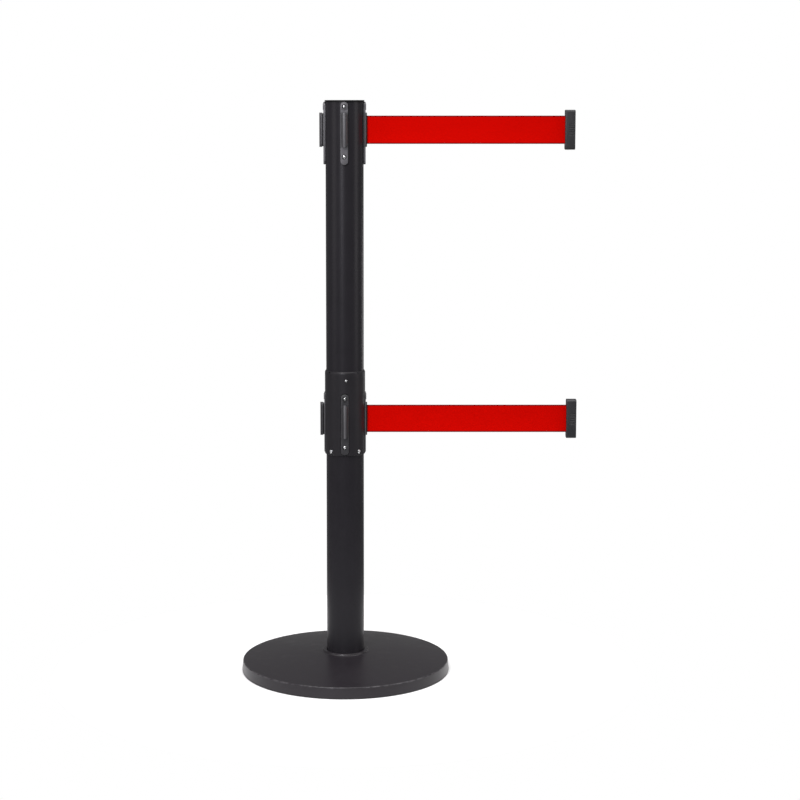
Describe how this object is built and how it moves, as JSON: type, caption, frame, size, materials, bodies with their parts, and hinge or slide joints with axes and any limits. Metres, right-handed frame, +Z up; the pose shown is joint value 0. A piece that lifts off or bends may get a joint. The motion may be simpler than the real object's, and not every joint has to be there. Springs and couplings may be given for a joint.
{
  "type": "retractable belt stanchion",
  "caption": "Round post on a domed disc base, with an upper and a lower head that each draw out a flat red belt ending in a hooking clip, and receiver rails round each head.",
  "frame": {"origin": "centre of the footprint, on the floor, on the post's axis", "axes": "+Z up the post, +X the way the belts are drawn out, -Y the side of the front receivers"},
  "size_m": [0.5694, 0.3556, 0.9727],
  "materials": {
    "base_coat": "fine textured black powder coat on pressed steel",
    "post_coat": "satin black powder coat on steel tube",
    "sleeve_coat": "satin black coat, slightly smoother than the post",
    "cap_plastic": "moulded black plastic",
    "receiver_plastic": "moulded charcoal-black plastic with a fine grain",
    "clip_plastic": "moulded black plastic with a fine grain",
    "inner_plastic": "moulded dark grey plastic",
    "bush_plastic": "natural white acetal",
    "belt_webbing": "woven red polyester webbing with a darker bound edge",
    "zinc_steel": "bright zinc plate",
    "black_screw": "black oxide",
    "spring_steel": "blued spring steel",
    "cast_iron": "as-cast grey iron, painted black",
    "rubber": "moulded black rubber"
  },
  "bodies": {
    "stand": {"base_bolt": "zinc_steel", "base_cover": "base_coat", "base_spring_washer": "zinc_steel", "base_washer": "zinc_steel", "base_weight": "cast_iron", "cassette_body_lower": "inner_plastic", "cassette_body_upper": "inner_plastic", "cassette_lid_lower": "inner_plastic", "cassette_lid_upper": "inner_plastic", "exit_plate_lower": "receiver_plastic", "exit_plate_upper": "receiver_plastic", "floor_ring": "rubber", "foot_plug": "zinc_steel", "guide_pins_lower": "zinc_steel", "guide_pins_upper": "zinc_steel", "head_screws_lower": "zinc_steel", "head_screws_upper": "zinc_steel", "lid_screws_lower": "zinc_steel", "lid_screws_upper": "zinc_steel", "mid_sleeve": "sleeve_coat", "post_tube": "post_coat", "receiver_back_lower": "receiver_plastic", "receiver_back_upper": "receiver_plastic", "receiver_front_lower": "receiver_plastic", "receiver_front_upper": "receiver_plastic", "receiver_left_lower": "receiver_plastic", "receiver_left_upper": "receiver_plastic", "sleeve_grub_screws": "black_screw", "sleeve_screws": "zinc_steel", "spool_shaft_lower": "zinc_steel", "spool_shaft_upper": "zinc_steel", "top_cap": "cap_plastic"},
    "belt_end_upper": {"belt_upper": "belt_webbing", "clip_housing_upper": "clip_plastic", "clip_back_upper": "clip_plastic", "clip_pin_upper": "zinc_steel", "clip_screws_upper": "zinc_steel"},
    "spool_unit_upper": {"spool_upper": "inner_plastic", "belt_coil_upper": "belt_webbing", "mainspring_upper": "spring_steel", "spring_cover_upper": "inner_plastic", "spool_bushes_upper": "bush_plastic"},
    "belt_end_lower": {"belt_lower": "belt_webbing", "clip_housing_lower": "clip_plastic", "clip_back_lower": "clip_plastic", "clip_pin_lower": "zinc_steel", "clip_screws_lower": "zinc_steel"},
    "spool_unit_lower": {"spool_lower": "inner_plastic", "belt_coil_lower": "belt_webbing", "mainspring_lower": "spring_steel", "spring_cover_lower": "inner_plastic", "spool_bushes_lower": "bush_plastic"}
  },
  "joints": [
    {"name": "belt_draw_upper", "type": "slide", "parent": "stand", "child": "belt_end_upper", "axis": [1, 0, 0], "range_m": [-0.3293, 3], "stiffness_N_per_m": 1.5, "springref_m": -6, "deforming": ["belt_upper"]},
    {"name": "spool_turn_upper", "type": "hinge", "parent": "stand", "child": "spool_unit_upper", "pos_m": [0, 0, 0.9237], "axis": [0, 0, 1], "range_deg": [-10260, 1200]},
    {"name": "belt_draw_lower", "type": "slide", "parent": "stand", "child": "belt_end_lower", "axis": [1, 0, 0], "range_m": [-0.3371, 3], "stiffness_N_per_m": 1.5, "springref_m": -6, "deforming": ["belt_lower"]},
    {"name": "spool_turn_lower", "type": "hinge", "parent": "stand", "child": "spool_unit_lower", "pos_m": [0, 0, 0.437], "axis": [0, 0, 1], "range_deg": [-10260, 1200]}
  ],
  "couplings": [
    {"joint": "spool_turn_upper", "follows": "belt_draw_upper", "rad_per_m": -59.3},
    {"joint": "spool_turn_lower", "follows": "belt_draw_lower", "rad_per_m": -59.3}
  ]
}
